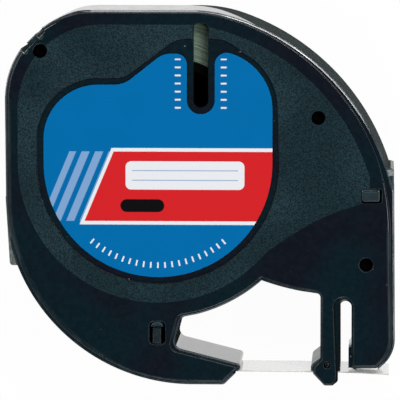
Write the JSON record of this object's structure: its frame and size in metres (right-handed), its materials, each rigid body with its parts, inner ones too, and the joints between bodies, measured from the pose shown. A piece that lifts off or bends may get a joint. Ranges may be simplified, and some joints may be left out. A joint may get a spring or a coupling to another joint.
{
  "type": "label tape cassette",
  "caption": "Flat plastic cassette that feeds label tape from an inner roll past an open print head bay, with a printed sticker and a viewing slot on its face.",
  "frame": {"origin": "centre of the bounding box on the back face, with the cassette lying on its back", "axes": "+Z out of the printed face, +X to the right and +Y up as the printed face is seen"},
  "size_m": [0.0608, 0.0584, 0.0166],
  "materials": {
    "rear_shell": "smooth moulded",
    "front_cover": "spark textured and smooth areas",
    "front_label": "printed and varnished",
    "tape_core": "moulded",
    "tape_roll": "cut tape edges",
    "lead_film": "satin film",
    "lead_liner": "coated paper",
    "drag_washer": "felt",
    "drag_spring": "rolled strip",
    "brake_leaf": "rolled strip",
    "brake_pad": "felt",
    "root_roller": "moulded",
    "root_roller_pin": "ground",
    "arm_roller": "moulded",
    "arm_roller_pin": "ground"
  },
  "bodies": {
    "case": {"rear_shell": "rear_shell", "front_cover": "front_cover", "front_label": "front_label", "lead_film": "lead_film", "lead_liner": "lead_liner", "drag_washer": "drag_washer", "drag_spring": "drag_spring", "brake_leaf": "brake_leaf", "brake_pad": "brake_pad", "root_roller_pin": "root_roller_pin", "arm_roller_pin": "arm_roller_pin"},
    "spool": {"tape_core": "tape_core", "tape_roll": "tape_roll"},
    "root_guide": {"root_roller": "root_roller"},
    "arm_guide": {"arm_roller": "arm_roller"}
  },
  "joints": [
    {"name": "spool_spin", "type": "hinge", "parent": "case", "child": "spool", "pos_m": [-0.00636, 0.00554, 0.0082], "axis": [0, 0, 1], "continuous": true},
    {"name": "root_roller_spin", "type": "hinge", "parent": "case", "child": "root_guide", "pos_m": [-0.00636, -0.02476, 0.0082], "axis": [0, 0, 1], "continuous": true},
    {"name": "arm_roller_spin", "type": "hinge", "parent": "case", "child": "arm_guide", "pos_m": [0.01991, -0.02577, 0.0082], "axis": [0, 0, 1], "continuous": true}
  ],
  "couplings": [
    {"joint": "root_roller_spin", "follows": "spool_spin", "ratio": 19.487},
    {"joint": "arm_roller_spin", "follows": "spool_spin", "ratio": 19.487}
  ]
}
